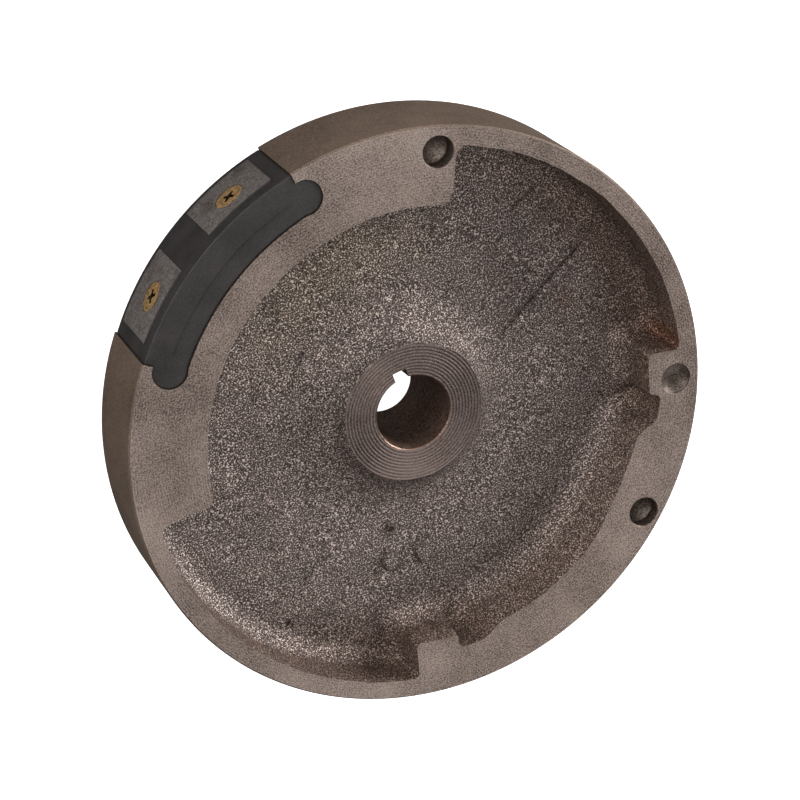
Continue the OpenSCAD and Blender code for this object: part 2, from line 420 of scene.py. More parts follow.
# darker than the faced iron: painted shade inside the holes and the slot
SHADED_DRILLED = TurnedIron(
    name="shaded_drilled_iron", dark="#362c27", bright="#8b7d74", ring_mm_deep=0.0, ring_shade=0.0, grit_mm=0.6,
    grit_mm_deep=0.1, rough=0.5,
)
PHENOLIC = MouldedPhenolic()
SHOE_STEEL = GroundSteel()
BRASS = TurnedBrass()
# near black, only inside the screws' cross recesses and the shoes' countersinks
DARK_RECESS_BRASS = TurnedBrass(name="dark_recess_brass", dark="#18110b", yellow="#382a1c")
FERRITE = SinteredFerrite()
SWEEP = WhiteSweep()


# ---- mesh making


def new_object(name: str, verts: list, faces: list, finish: Finish) -> Piece:
    """Makes a mesh object with one finish.

    Args:
        name: Name of the object and its mesh.
        verts: Corner points.
        faces: Corner numbers of each face.
        finish: Its surface.

    Returns:
        The object, linked into the scene.
    """
    mesh = bpy.data.meshes.new(name)
    mesh.from_pydata(verts, [], faces)
    mesh.materials.append(finish.material())
    piece = bpy.data.objects.new(name, mesh)
    bpy.context.scene.collection.objects.link(piece)
    return piece


def close_rings(name: str, rings: list[Ring], ends: tuple[float, float], finish: Finish) -> Piece:
    """Joins equal rings of corners about Z into a closed solid.

    Args:
        name: Name of the object.
        rings: Corners of each ring, from one end to the other.
        ends: Heights of the two points on the axis that close the ends.
        finish: Its surface.

    Returns:
        The solid.
    """
    segments = len(rings[0])
    verts = [(0, 0, ends[0]), *[corner for ring in rings for corner in ring], (0, 0, ends[1])]
    last = len(verts) - 1 - segments
    faces: list[list[int]] = []
    for i in range(segments):
        j = (i + 1) % segments
        faces.append([0, 1 + j, 1 + i])
        for low in range(1, last, segments):
            faces.append([low + i, low + j, low + segments + j, low + segments + i])
        faces.append([last + i, last + j, len(verts) - 1])
    return new_object(name, verts, faces, finish)


def lathe(name: str, profile: Profile, finish: Finish, segments: int = 64) -> Piece:
    """Turns a profile about Z into a closed solid.

    Args:
        name: Name of the object.
        profile: Radius and height of each point, first and last on the axis, solid on the axis's side.
        finish: Its surface.
        segments: Corners around.

    Returns:
        The solid.
    """
    turn = np.linspace(0, 2 * math.pi, segments, endpoint=False)
    rings = [[(r * math.cos(t), r * math.sin(t), height) for t in turn] for r, height in profile[1:-1]]
    return close_rings(name, rings, (profile[0][1], profile[-1][1]), finish)


def threaded_rod(
    name: str, root_r: float, crest_r: float, pitch: float, start: float, end: float, finish: Finish
) -> Piece:
    """Makes a closed rod along Z with a real helical thread.

    Args:
        name: Name of the object.
        root_r: Radius at the bottom of the thread.
        crest_r: Radius at its top.
        pitch: Distance between turns.
        start: Height of the lower end.
        end: Height of the upper end.
        finish: Its surface.

    Returns:
        The rod.
    """
    segments, rows = 24, max(4, round((end - start) / pitch * 4))
    rings: list[Ring] = []
    for row in range(rows + 1):
        height = start + (end - start) * row / rows
        fade = min(1.0, row / 4, (rows - row) / 4)
        rings.append([])
        for i in range(segments):
            turn = 2 * math.pi * i / segments
            wave = abs(2 * ((height / pitch - i / segments) % 1) - 1)
            radius = root_r + (crest_r - root_r) * wave * fade
            rings[-1].append((radius * math.cos(turn), radius * math.sin(turn), height))
    return close_rings(name, rings, (start, end), finish)


def prism(
    name: str, outline: list[tuple[float, float]], low: float, high: float, finish: Finish, bevel: float = 0.0
) -> Piece:
    """Raises a flat outline into a solid, with rounded edges where bevel is given.

    Args:
        name: Name of the object.
        outline: Corners, counter-clockwise.
        low: Height of its underside.
        high: Height of its top.
        finish: Its surface.
        bevel: Radius of its edges, or 0 for sharp ones.

    Returns:
        The solid.
    """
    count = len(outline)
    verts = [(x, y, z) for z in (low, high) for x, y in outline]
    faces = [list(range(count))[::-1], list(range(count, 2 * count))]
    faces += [[i, (i + 1) % count, count + (i + 1) % count, count + i] for i in range(count)]
    piece = new_object(name, verts, faces, finish)
    if bevel:
        shape = bmesh.new()
        shape.from_mesh(piece.data)
        sharp = [edge for edge in shape.edges if edge.calc_face_angle(0) > math.radians(30)]
        bmesh.ops.bevel(shape, geom=sharp, offset=bevel, segments=3, profile=0.5, affect="EDGES")
        shape.to_mesh(piece.data)
        shape.free()
    return piece


def moved(piece: Piece, matrix: Matrix) -> Piece:
    """Moves a piece's mesh by a matrix, so that its object stays at the origin."""
    piece.data.transform(matrix)
    return piece


def about_z(degrees: float) -> Matrix:
    """Rotation about the wheel's axis."""
    return Matrix.Rotation(math.radians(degrees), 4, "Z")


def combine(piece: Piece, tool: Piece, cut: Cut) -> Piece:
    """Cuts, keeps or joins with a tool, which is used up.

    Args:
        piece: Mesh that is changed.
        tool: Closed mesh that changes it. Its faces keep its finish.
        cut: What the tool does.

    Returns:
        The piece.
    """
    modifier = piece.modifiers.new("cut", "BOOLEAN")
    modifier.operation = cut.value
    modifier.solver = "MANIFOLD"
    modifier.material_mode = "TRANSFER"
    modifier.object = tool
    graph = bpy.context.evaluated_depsgraph_get()
    result = bpy.data.meshes.new_from_object(piece.evaluated_get(graph))
    piece.modifiers.clear()
    old, piece.data = piece.data, result
    bpy.data.meshes.remove(old)
    if len(result.polygons) == 0:
        raise RuntimeError(f"{piece.name}: nothing is left after {cut.name} with {tool.name}")
    bpy.data.objects.remove(tool)
    return piece


def gather(name: str, pieces: list[Piece]) -> Piece:
    """Puts meshes that don't touch into one object, each with its own finish.

    Args:
        name: Name of the object.
        pieces: Meshes, which are used up.

    Returns:
        The object that holds them all.
    """
    verts: list = []
    faces: list = []
    slots: list[int] = []
    finishes: list[bpy.types.Material] = []
    for piece in pieces:
        base = len(verts)
        verts += [v.co[:] for v in piece.data.vertices]
        local = []
        for material in piece.data.materials:
            if material not in finishes:
                finishes.append(material)
            local.append(finishes.index(material))
        for polygon in piece.data.polygons:
            faces.append([base + i for i in polygon.vertices])
            slots.append(local[polygon.material_index])
        bpy.data.objects.remove(piece)
    mesh = bpy.data.meshes.new(name)
    mesh.from_pydata(verts, [], faces)
    for material in finishes:
        mesh.materials.append(material)
    mesh.polygons.foreach_set("material_index", slots)
    result = bpy.data.objects.new(name, mesh)
    bpy.context.scene.collection.objects.link(result)
    return result


def soften(piece: Piece, smooth_material: Finish | None = None, angle: float = 30.0) -> None:
    """Shades a mesh smooth, and keeps its real edges sharp.

    Args:
        piece: Mesh to shade.
        smooth_material: Finish whose own faces never get a sharp edge between them.
        angle: Smallest angle of an edge that stays sharp.
    """
    mesh = piece.data
    always = mesh.materials.find(smooth_material.name) if smooth_material else -1
    shape = bmesh.new()
    shape.from_mesh(mesh)
    for edge in shape.edges:
        both = [f.material_index for f in edge.link_faces]
        soft = both == [always, always] or edge.calc_face_angle(0) < math.radians(angle)
        edge.smooth = soft
    for polygon in shape.faces:
        polygon.smooth = True
    shape.to_mesh(mesh)
    shape.free()


def finish_piece(piece: Piece, slot: str, *nodes: str) -> Piece:
    """Scales a mesh from millimetres, hangs it under the body, hides its CAD nodes and reports it.

    Args:
        piece: Finished mesh.
        slot: The record's material slot. Not used.
        *nodes: CAD nodes that it stands for.

    Returns:
        The piece.
    """
    moved(piece, Matrix.Scale(MM, 4))
    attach(piece, BODY)
    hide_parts(*nodes)
    LOG.info("%s: %d faces, stands for %s", piece.name, len(piece.data.polygons), ", ".join(nodes))
    return piece


# ---- distance fields


def join_round(a: Points, b: Points, radius: float) -> Points:
    """Union of two distance fields with a round fillet in the inner corner."""
    corner = np.hypot(np.maximum(radius - a, 0), np.maximum(radius - b, 0))
    return np.maximum(radius, np.minimum(a, b)) - corner


def meet_round(a: Points, b: Points, radius: float) -> Points:
    """Intersection of two distance fields with a rounded outer corner."""
    return -join_round(-a, -b, radius)


def ramp(value: Points, start: float, stop: float) -> Points:
    """Smooth step from 0 at start to 1 at stop."""
    share = np.clip((value - start) / (stop - start), 0, 1)
    return share * share * (3 - 2 * share)


def spot(x: Points, y: Points, at: tuple[float, float], size: float) -> Points:
    """Soft round spot, 1 in the middle, that fades over its size."""
    return np.exp(-((x - at[0]) ** 2 + (y - at[1]) ** 2) / size**2)


def off_angle(x: Points, y: Points, centre: float) -> Points:
    """Angle of each point from a direction, between -180 and 180."""
    return (np.degrees(np.arctan2(y, x)) - centre + 180) % 360 - 180


def surface_net(field_of: Callable, low: Points, high: Points, pitch: float) -> tuple[Points, list]:
    """Meshes the zero surface of a distance field with quads.

    Args:
        field_of: Gives the distance of each point, negative inside.
        low: Lowest corner of the box that is searched.
        high: Highest corner.
        pitch: Distance between samples.

    Returns:
        The corner points and the quads.
    """
    axes = [np.arange(a, b + pitch, pitch) for a, b in zip(low, high)]
    shape = tuple(len(a) for a in axes)
    field = np.empty(shape)
    for i, x in enumerate(axes[0]):  # slab by slab, to keep memory small
        grid = np.stack(np.meshgrid([x], axes[1], axes[2], indexing="ij"), -1).reshape(-1, 3)
        field[i] = field_of(grid).reshape(shape[1:])
    inside = field < 0
    corners = [(i, j, k) for i in (0, 1) for j in (0, 1) for k in (0, 1)]
    count = sum(inside[i : shape[0] - 1 + i, j : shape[1] - 1 + j, k : shape[2] - 1 + k].astype(np.int8)
                for i, j, k in corners)
    cells = np.argwhere((count > 0) & (count < 8))
    values = np.stack([field[tuple((cells + c).T)] for c in corners], 1)
    total, crossed = np.zeros((len(cells), 3)), np.zeros(len(cells))
    for a, start in enumerate(corners):
        for b, stop in enumerate(corners):
            if b > a and sum(abs(p - q) for p, q in zip(start, stop)) == 1:
                va, vb = values[:, a], values[:, b]
                hit = (va < 0) != (vb < 0)
                share = np.where(hit, va / np.where(va == vb, 1, va - vb), 0)
                point = np.array(start) + share[:, None] * (np.array(stop) - np.array(start))
                total += point * hit[:, None]
                crossed += hit
    verts = np.array([a[0] for a in axes]) + (cells + total / crossed[:, None]) * pitch
    number = np.full(tuple(n - 1 for n in shape), -1)
    number[tuple(cells.T)] = np.arange(len(cells))
    quads = []
    for axis in range(3):
        u, v = (axis + 1) % 3, (axis + 2) % 3
        first = np.take(inside, range(shape[axis] - 1), axis)
        second = np.take(inside, range(1, shape[axis]), axis)
        edges = np.argwhere(first != second)
        edges = edges[(edges[:, u] > 0) & (edges[:, v] > 0)]
        step_u, step_v = np.eye(3, dtype=int)[u], np.eye(3, dtype=int)[v]
        around = [edges - step_u - step_v, edges - step_v, edges, edges - step_u]
        quad = np.stack([number[tuple(a.T)] for a in around], 1)
        outward = first[tuple(edges.T)]
        quads.append(np.where(outward[:, None], quad, quad[:, ::-1]))
    return verts, np.concatenate(quads).tolist()


def gradient(field_of: Callable, points: Points) -> Points:
    """Slope of a distance field, by central differences.

    Args:
        field_of: Gives the distance of each point.
        points: Where the slope is wanted.

    Returns:
        The slope at each point.
    """
    step = 0.05
    slope = np.empty_like(points)
    for axis in range(3):
        shift = np.zeros(3)
        shift[axis] = step
        slope[:, axis] = (field_of(points + shift) - field_of(points - shift)) / (2 * step)
    return slope


# ---- the magnet group's shared outline


@dataclass
class SlotShape:
    """The curved slot for the magnets, with a round end on each side and a mouth through the rim."""

    angle: float = 120.0
    mid_r: float = 88.2
    half_width: float = 5.4
    end_half: float = 22.2
    end_r: float = 5.8
    mouth_half: float = 21.95

    def outline(self, gap: float, outer_r: float) -> list[tuple[float, float]]:
        """Corners of the slot or of what fills it.

        Args:
            gap: Clearance by which the outline is smaller.
            outer_r: Radius at which the mouth is closed.

        Returns:
            The corners, counter-clockwise, about the group's own centreline.
        """
        mouth = math.radians(self.mouth_half) - gap / self.mid_r
        end = math.radians(self.end_half)
        radius = self.end_r - gap
        inner = self.mid_r - self.half_width + gap
        centre = self.mid_r * np.array([math.cos(end), math.sin(end)])
        ray = np.array([math.cos(mouth), math.sin(mouth)])
        along = centre @ ray
        start = ray * (along + math.sqrt(radius**2 - centre @ centre + along**2))
        turn = math.acos((self.mid_r**2 + inner**2 - radius**2) / (2 * self.mid_r * inner))
        stop = inner * np.array([math.cos(end - turn), math.sin(end - turn)])
        first = math.atan2(*(start - centre)[::-1])
        last = math.atan2(*(stop - centre)[::-1]) % (2 * math.pi)
        half = [(outer_r * math.cos(a), outer_r * math.sin(a)) for a in np.linspace(0, mouth, 24)]
        half += [(centre[0] + radius * math.cos(a), centre[1] + radius * math.sin(a))
                 for a in np.linspace(first, last, 40)]
        half += [(inner * math.cos(a), inner * math.sin(a)) for a in np.linspace(end - turn, 0, 24)[1:]]
        return half + [(x, -y) for x, y in half[-2:0:-1]]


# ---- casting


@dataclass
class FlywheelCasting:
    """The iron casting: as poured, then faced, bored and drilled."""

    rim_r: float
    front_z: float
    back_z: float = 8.65
    hub_z: float = 30.8
    floor_z: float = 22.9
    web_back_z: float = 13.9
    rim_in_r: float = 91.2
    back_ring_r: float = 80.0
    rim_edge: float = 0.5
    hub_core_r: float = 19.4
    flare_r: float = 20.0
    hub_back_r: float = 21.0
    foot_r: float = 6.5
    corner_r: float = 3.5
    bore_r: float = 12.7
    bore_back_r: float = 10.775
    key_w: float = 4.76
    key_h: float = 2.9
    magnet_angle: float = 120.0
    pad_half: float = 55.3
    pad_in_r: float = 72.3
    weight_half: float = 33.0
    weight_in_r: float = 80.0
    weight_lean: float = 2.7
    weight_draft: float = 3.5
    weight_corner_r: float = 8.0
    notch_r: float = 83.6
    boss_flats: tuple = (78.3, 79.4)
    boss_w: float = 14.6
    balance_r: float = 5.15
    balance_holes: tuple = ((89.0, 68.7, 6.0), (89.1, 343.1, 0.6), (90.4, 312.4, 4.5))
    thread_angles: tuple = (255.0, 345.0, 75.0, 165.0)
    thread_r: float = 88.0
    thread_depth: float = 12.0
    screw_angles: tuple = (131.45, 108.55)
    screw_z: float = 25.5
    screw_tip_r: float = 75.5
    pitch: float = 0.82
    # creases that the running metal left in the web: both ends, depth and width
    flow_lines: tuple = (
        ((33.5, 5.2), (78.5, 27.2), 1.0, 0.95),
        ((49.0, 45.0), (68.0, 51.6), 0.8, 0.95),
        ((-41.0, -34.5), (-57.5, -48.4), 0.6, 1.0),
        ((-36.0, 20.0), (-20.0, 40.0), 0.3, 1.1),
    )
    # raised foundry pips: both ends of the middle line and half the width
    pips: tuple = (
        ((-18.3, -39.0), (-18.3, -38.9), 1.5),
        ((-22.5, -49.8), (-22.3, -51.4), 2.7),
        ((-11.0, -52.0), (-10.7, -53.8), 2.9),
    )
    pip_h: float = 1.35
    pit_at: tuple = (-61.9, -55.5)
    # stains: place, size and strength
    rust_spots: tuple = (((89.5, -14.0), 3.5, 0.8), ((82.0, -32.0), 4.0, 0.35), ((62.6, 8.8), 3.0, 0.4))
    olive_spots: tuple = (
        ((-20.0, 52.0), 14.0, 0.4), ((2.0, 58.0), 13.0, 0.4), ((-38.0, 36.0), 13.0, 0.2),
        ((22.0, 52.0), 9.0, 0.2),
    )
    slot: SlotShape = field(default_factory=SlotShape)

    @property
    def weight_angle(self) -> float:
        """Direction of the balance sector, opposite the magnets."""
        return self.magnet_angle + 180

    def sector(self, points: Points, centre: float, half: float, inner_r: Points, corner_r: float) -> Points:
        """Distance of a block that fills a sector outside inner_r.

        Args:
            points: Where the distance is wanted.
            centre: Direction of the block's middle.
            half: Half of the angle that it covers.
            inner_r: Its inside radius at each point.
            corner_r: Radius that rounds its inner corners.

        Returns:
            The distance of each point, negative inside.
        """
        x, y = points[:, 0], points[:, 1]
        radius = np.hypot(x, y)
        off = np.abs(off_angle(x, y, centre)) - half
        side = radius * np.sin(np.radians(np.clip(off, -90, 90)))
        return meet_round(inner_r - radius, side, corner_r)

    def pad(self, points: Points, draft: Points) -> Points:
        """Distance of the wide pad around the magnets, drafted inwards."""
        return self.sector(points, self.magnet_angle, self.pad_half, self.pad_in_r - draft, self.corner_r)

    def boss(self, points: Points, direction: float, flat_r: float, depth: Points) -> Points:
        """Distance of one flat-faced boss inside the rim.

        Args:
            points: Where the distance is wanted.
            direction: Direction of the boss.
            flat_r: Distance of its flat face from the axis.
            depth: How far each point lies under the rim's front face.

        Returns:
            The distance of each point, negative inside.
        """
        turn = math.radians(direction)
        along = points[:, 0] * math.cos(turn) + points[:, 1] * math.sin(turn)
        across = np.abs(points[:, 1] * math.cos(turn) - points[:, 0] * math.sin(turn))
        draft = depth * math.tan(math.radians(2.5))
        return meet_round(flat_r - draft - along, across - self.boss_w / 2 - draft, 1.2)

    def creases(self, x: Points, y: Points) -> list[tuple]:
        """Flow lines as each point meets them.

        Args:
            x: First coordinate of the points.
            y: Second coordinate.

        Returns:
            For each line the distance across it, the strength left near its ends, its depth and its width.
        """
        met = []
        for (x0, y0), (x1, y1), deep, wide in self.flow_lines:
            length = math.hypot(x1 - x0, y1 - y0)
            ux, uy = (x1 - x0) / length, (y1 - y0) / length
            along = (x - x0) * ux + (y - y0) * uy
            across = (y - y0) * ux - (x - x0) * uy
            met.append((across, np.clip(along / 8, 0, 1) * np.clip((length - along) / 8, 0, 1), deep, wide))
        return met

    def web_front(self, x: Points, y: Points) -> Points:
        """Height of the web's front surface, with its flow lines and its pit.

        Args:
            x: First coordinate of the points.
            y: Second coordinate.

        Returns:
            The height over each point.
        """
        turn = math.radians(self.weight_angle)
        beyond = x * math.cos(turn) + y * math.sin(turn)
        height = self.floor_z - 0.016 * np.maximum(beyond, 0)  # falls a little towards the balance sector
        for across, ends, deep, wide in self.creases(x, y):
            height -= deep * ends * np.exp(-((across / wide) ** 2))
            height += 0.6 * deep * ends * np.exp(-(((across + 1.7 * wide) / (1.3 * wide)) ** 2))
        return height - 1.4 * spot(x, y, self.pit_at, 1.1)  # a pit left by a grain of sand

    def pip_outlines(self, x: Points, y: Points) -> Points:
        """Distance in the web's plane from the nearest pip's outline.

        Args:
            x: First coordinate of the points.
            y: Second coordinate.

        Returns:
            The distance of each point, negative inside.
        """
        shapes = []
        for (x0, y0), (x1, y1), thick in self.pips:
            length = math.hypot(x1 - x0, y1 - y0)
            ux, uy = (x1 - x0) / length, (y1 - y0) / length
            along = np.clip((x - x0) * ux + (y - y0) * uy, 0, length)
            shapes.append(np.hypot(x - x0 - along * ux, y - y0 - along * uy) - thick)
        return np.minimum.reduce(shapes)

    def field(self, points: Points) -> Points:
        """Distance of the casting as poured, with stock left on the faces that are machined.

        Args:
            points: Where the distance is wanted.

        Returns:
            The distance of each point, negative inside.
        """
        x, y, z = points.T
        radius = np.hypot(x, y)
        depth = self.front_z - z
        steep = math.tan(math.radians(3))
        share = np.clip(depth / (self.front_z - self.floor_z), -0.2, 1.3)
        walls = self.rim_in_r - depth * math.tan(math.radians(1.5)) - radius
        angle = off_angle(x, y, self.weight_angle)
        notch = self.sector(points, self.weight_angle, 45, self.notch_r - depth * steep, self.corner_r)
        walls = join_round(walls, notch, self.corner_r)
        inner_r = self.weight_in_r - self.weight_lean * ramp(angle, -4, 14) - self.weight_draft * share
        weight = self.sector(points, self.weight_angle, self.weight_half, inner_r, self.weight_corner_r)
        walls = join_round(walls, weight, 3.0)
        walls = join_round(walls, self.pad(points, depth * steep), self.corner_r)
        for side, flat_r in zip((-45, 45), self.boss_flats):
            walls = join_round(walls, self.boss(points, self.weight_angle + side, flat_r, depth), 2.0)
        pips = meet_round(self.pip_outlines(x, y), z - self.floor_z - self.pip_h, 0.5)
        web = join_round(z - self.web_front(x, y), pips, 0.6)
        front = join_round(web, radius - self.hub_core_r, self.flare_r)
        front = join_round(front, walls, self.foot_r)
        lift = z - self.back_z
        ring = self.back_ring_r - lift * steep - radius
        ring = join_round(ring, self.pad(points, lift * steep), self.corner_r)
        back = join_round(self.web_back_z - z, radius - self.hub_back_r - z * math.tan(math.radians(2)), 4.0)
        back = join_round(back, ring, 4.0)
        bottom = np.where(radius > 55, self.back_z - 1.4 - z, -1.4 - z)
        return np.maximum.reduce([front, back, radius - self.rim_r - 1.3, z - self.front_z - 1.4, bottom])

    def poured(self) -> Piece:
        """Meshes the casting as poured and gives its skin the lumps of the sand."""
        reach = self.rim_r + 3
        low, high = np.array([-reach, -reach, -3.0]), np.array([reach, reach, self.front_z + 3.2])
        verts, quads = surface_net(self.field, low, high, self.pitch)
        for _ in range(3):
            slope = gradient(self.field, verts)
            size = np.maximum((slope**2).sum(1, keepdims=True), 0.25)
            move = -self.field(verts)[:, None] * slope / size
            verts += np.clip(move, -0.4 * self.pitch, 0.4 * self.pitch)
        slope = gradient(self.field, verts)
        normal = slope / np.maximum(np.linalg.norm(slope, axis=1, keepdims=True), 1e-6)
        lumps = np.array(
            [0.34 * noise.noise(Vector(p) / 11) + 0.2 * noise.noise(Vector(p) / 4.6 + Vector((7, 3, 1)))
             + 0.16 * noise.noise(Vector(p) / 2.1 + Vector((1, 9, 4))) for p in verts.tolist()]
        )
        verts += normal * lumps[:, None]
        return new_object("flywheel_body", verts.tolist(), quads, CAST_SKIN)

    def envelope(self) -> Piece:
        """The space that facing and turning leave, with the rim's chamfers."""
        r, e, back, front = self.rim_r, self.rim_edge, self.back_z, self.front_z
        turned = lathe(
            "envelope",
            [(0, 0), (30, 0), (70, back), (r - e, back), (r, back + e), (r, front - e), (r - e, front),
             (60, front), (30, self.hub_z), (0, self.hub_z)],
            FACED,
            360,
        )
        for finish in (HUB_FACED, RIM_GROUND):
            turned.data.materials.append(finish.material())
        for polygon in turned.data.polygons:
            reach = math.hypot(*polygon.center[:2])
            if reach < 35:
                polygon.material_index = 1
            elif reach > r - 0.9 * e:
                polygon.material_index = 2
        return turned

    def bore_tool(self) -> Piece:
        """Tapered reamer with the keyway's broach, and a broken edge at the mouth."""
        past, top, low_r, half = 2.0, self.hub_z, self.bore_back_r, self.key_w / 2
        grow = (self.bore_r - low_r) / top
        tool = lathe(
            "bore",
            [(0, -past), (low_r + 0.5, -past), (low_r + 0.4, 0.0), (low_r, 0.4),
             (self.bore_r - 0.3 * grow, top - 0.3), (self.bore_r + 0.3 + past, top + past), (0, top + past)],
            BORED,
            128,
        )
        outline = [(-half, -past), (half, -past), (half, 1), (-half, 1)]
        key = prism("key", outline, -past, top + past, BORED)
        for vertex in key.data.vertices:
            if vertex.co.y > 0:
                vertex.co.y = low_r + grow * vertex.co.z + self.key_h
        return combine(tool, key, Cut.JOIN)

    def slot_tool(self) -> Piece:
        """Cutter for the magnets' slot, with the two holes for the pole screws."""
        tool = prism("slot", self.slot.outline(0, self.rim_r + 3), self.back_z - 3, self.front_z + 3, SHADED_DRILLED)
        moved(tool, about_z(self.magnet_angle))
        for direction in self.screw_angles:
            hole = threaded_rod("screw_hole", 2.42, 2.42, 0.8, self.screw_tip_r - 1, self.slot.mid_r, SHADED_DRILLED)
            moved(hole, about_z(direction) @ Matrix.Translation((0, 0, self.screw_z))
                  @ Matrix.Rotation(math.pi / 2, 4, "Y"))
            tool = combine(tool, hole, Cut.JOIN)
        return tool

    def drills(self) -> list[Piece]:
        """Cutters for the balance holes and for the tapped holes in the rim's back."""
        tools = []
        point = self.balance_r / math.tan(math.radians(59))
        for radius, direction, depth in self.balance_holes:
            drill = lathe(
                "drill",
                [(0, -depth - point), (self.balance_r, -depth), (self.balance_r, -0.15),
                 (self.balance_r + 0.15 + 2, 2), (0, 2)],
                SHADED_DRILLED,
            )
            tools.append(moved(drill, about_z(direction) @ Matrix.Translation((radius, 0, self.front_z))))
        for direction in self.thread_angles:
            tap = threaded_rod("tap", 2.55, 3.1, 1.27, -2.5, self.thread_depth, SHADED_DRILLED)
            tools.append(moved(tap, about_z(direction) @ Matrix.Translation((self.thread_r, 0, self.back_z))))
        return tools

    def stain(self, piece: Piece) -> None:
        """Keeps as vertex attributes where the skin is browned, stained or rusty, where shade is painted on
        it, and where faced iron is rubbed bright or given a painted sheen.

        Args:
            piece: The casting's mesh, in millimetres.
        """
        mesh = piece.data
        count = len(mesh.vertices)
        places, normals = np.empty(count * 3), np.empty(count * 3)
        mesh.vertices.foreach_get("co", places)
        mesh.vertices.foreach_get("normal", normals)
        x, y, z = places.reshape(-1, 3).T
        radius = np.hypot(x, y)
        upright = 1 - np.abs(normals.reshape(-1, 3)[:, 2])
        front = z > self.web_back_z + 3
        # browner and darker on the steep walls and on the web by the rim of the balance side: partly the
        # iron's browning, partly painted shade
        brown_and_shade = np.clip(upright * 1.5 - 0.6, 0, 1) * ramp(radius, 64, 74)
        angle = np.abs(off_angle(x, y, self.weight_angle + 20))
        brown_and_shade = np.maximum(brown_and_shade, ramp(radius, 66, 84) * (1 - ramp(angle, 60, 115)) * 0.85)
        rust = sum(strength * spot(x, y, at, size) for at, size, strength in self.rust_spots)
        olive = sum(strength * spot(x, y, at, size) for at, size, strength in self.olive_spots)
        # painted shade round the pips, in the pit, round the hub's foot and along the flow lines, and a
        # painted shadow of the rim wall
        shade_marks = [
            0.55 * np.exp(-((self.pip_outlines(x, y) / 0.8) ** 2)),  # painted shade at the foot of the pips
            # the pellet drawn darker
            spot(x, y, self.pips[0][0], 1.7),
            # painted shade in the pit
            spot(x, y, self.pit_at, 1.3),
            # painted shade round the foot of the hub
            0.35 * ramp(-radius, -30, -24) * (z > self.floor_z + 2),
            # painted shadow of the rim wall on the web
            0.3 * spot(x, y, (52, 24), 26),
        ]
        # painted shade along the flow lines
        for across, ends, deep, wide in self.creases(x, y):
            shade_marks.append(0.9 * min(1.0, deep) * ends * np.exp(-((across / wide) ** 2)))
        painted_shade = np.maximum.reduce(shade_marks)
        rim, hub = ramp(radius, 79, 84), ramp(-radius, -30, -26)
        # faced pads and rim rubbed brighter; the patch on the hub face at 243° is a painted sheen
        wear_and_sheen = np.zeros(count)
        for ring, middle, half, strength in ((rim, 80, 24, 0.16), (rim, 174, 24, 0.14), (rim, 236, 44, 0.08),
                                             (hub, 243, 40, 0.2)):
            wear_and_sheen += strength * ring * np.clip(1 - np.abs(off_angle(x, y, middle)) / half, 0, 1)
        stains = {"brown_and_shade": brown_and_shade, "rust": rust, "olive": olive, "painted_shade": painted_shade, "wear_and_sheen": wear_and_sheen}
        for name, values in stains.items():
            attribute = mesh.attributes.new(name, "FLOAT", "POINT")
            attribute.data.foreach_set("value", np.clip(values * front, 0, 1).astype(np.float32))

    def build(self) -> Piece:
        """Pours and machines the casting, shades it smooth, and gives it stains and painted shade."""
        piece = combine(self.poured(), self.envelope(), Cut.KEEP)
        tools = [self.bore_tool(), self.slot_tool(), *self.drills()]
        piece = combine(piece, gather("tools", tools), Cut.REMOVE)
        soften(piece, CAST_SKIN)
        self.stain(piece)
        return finish_piece(piece, "cast_iron", "flywheel_casting")


# ---- magnet group


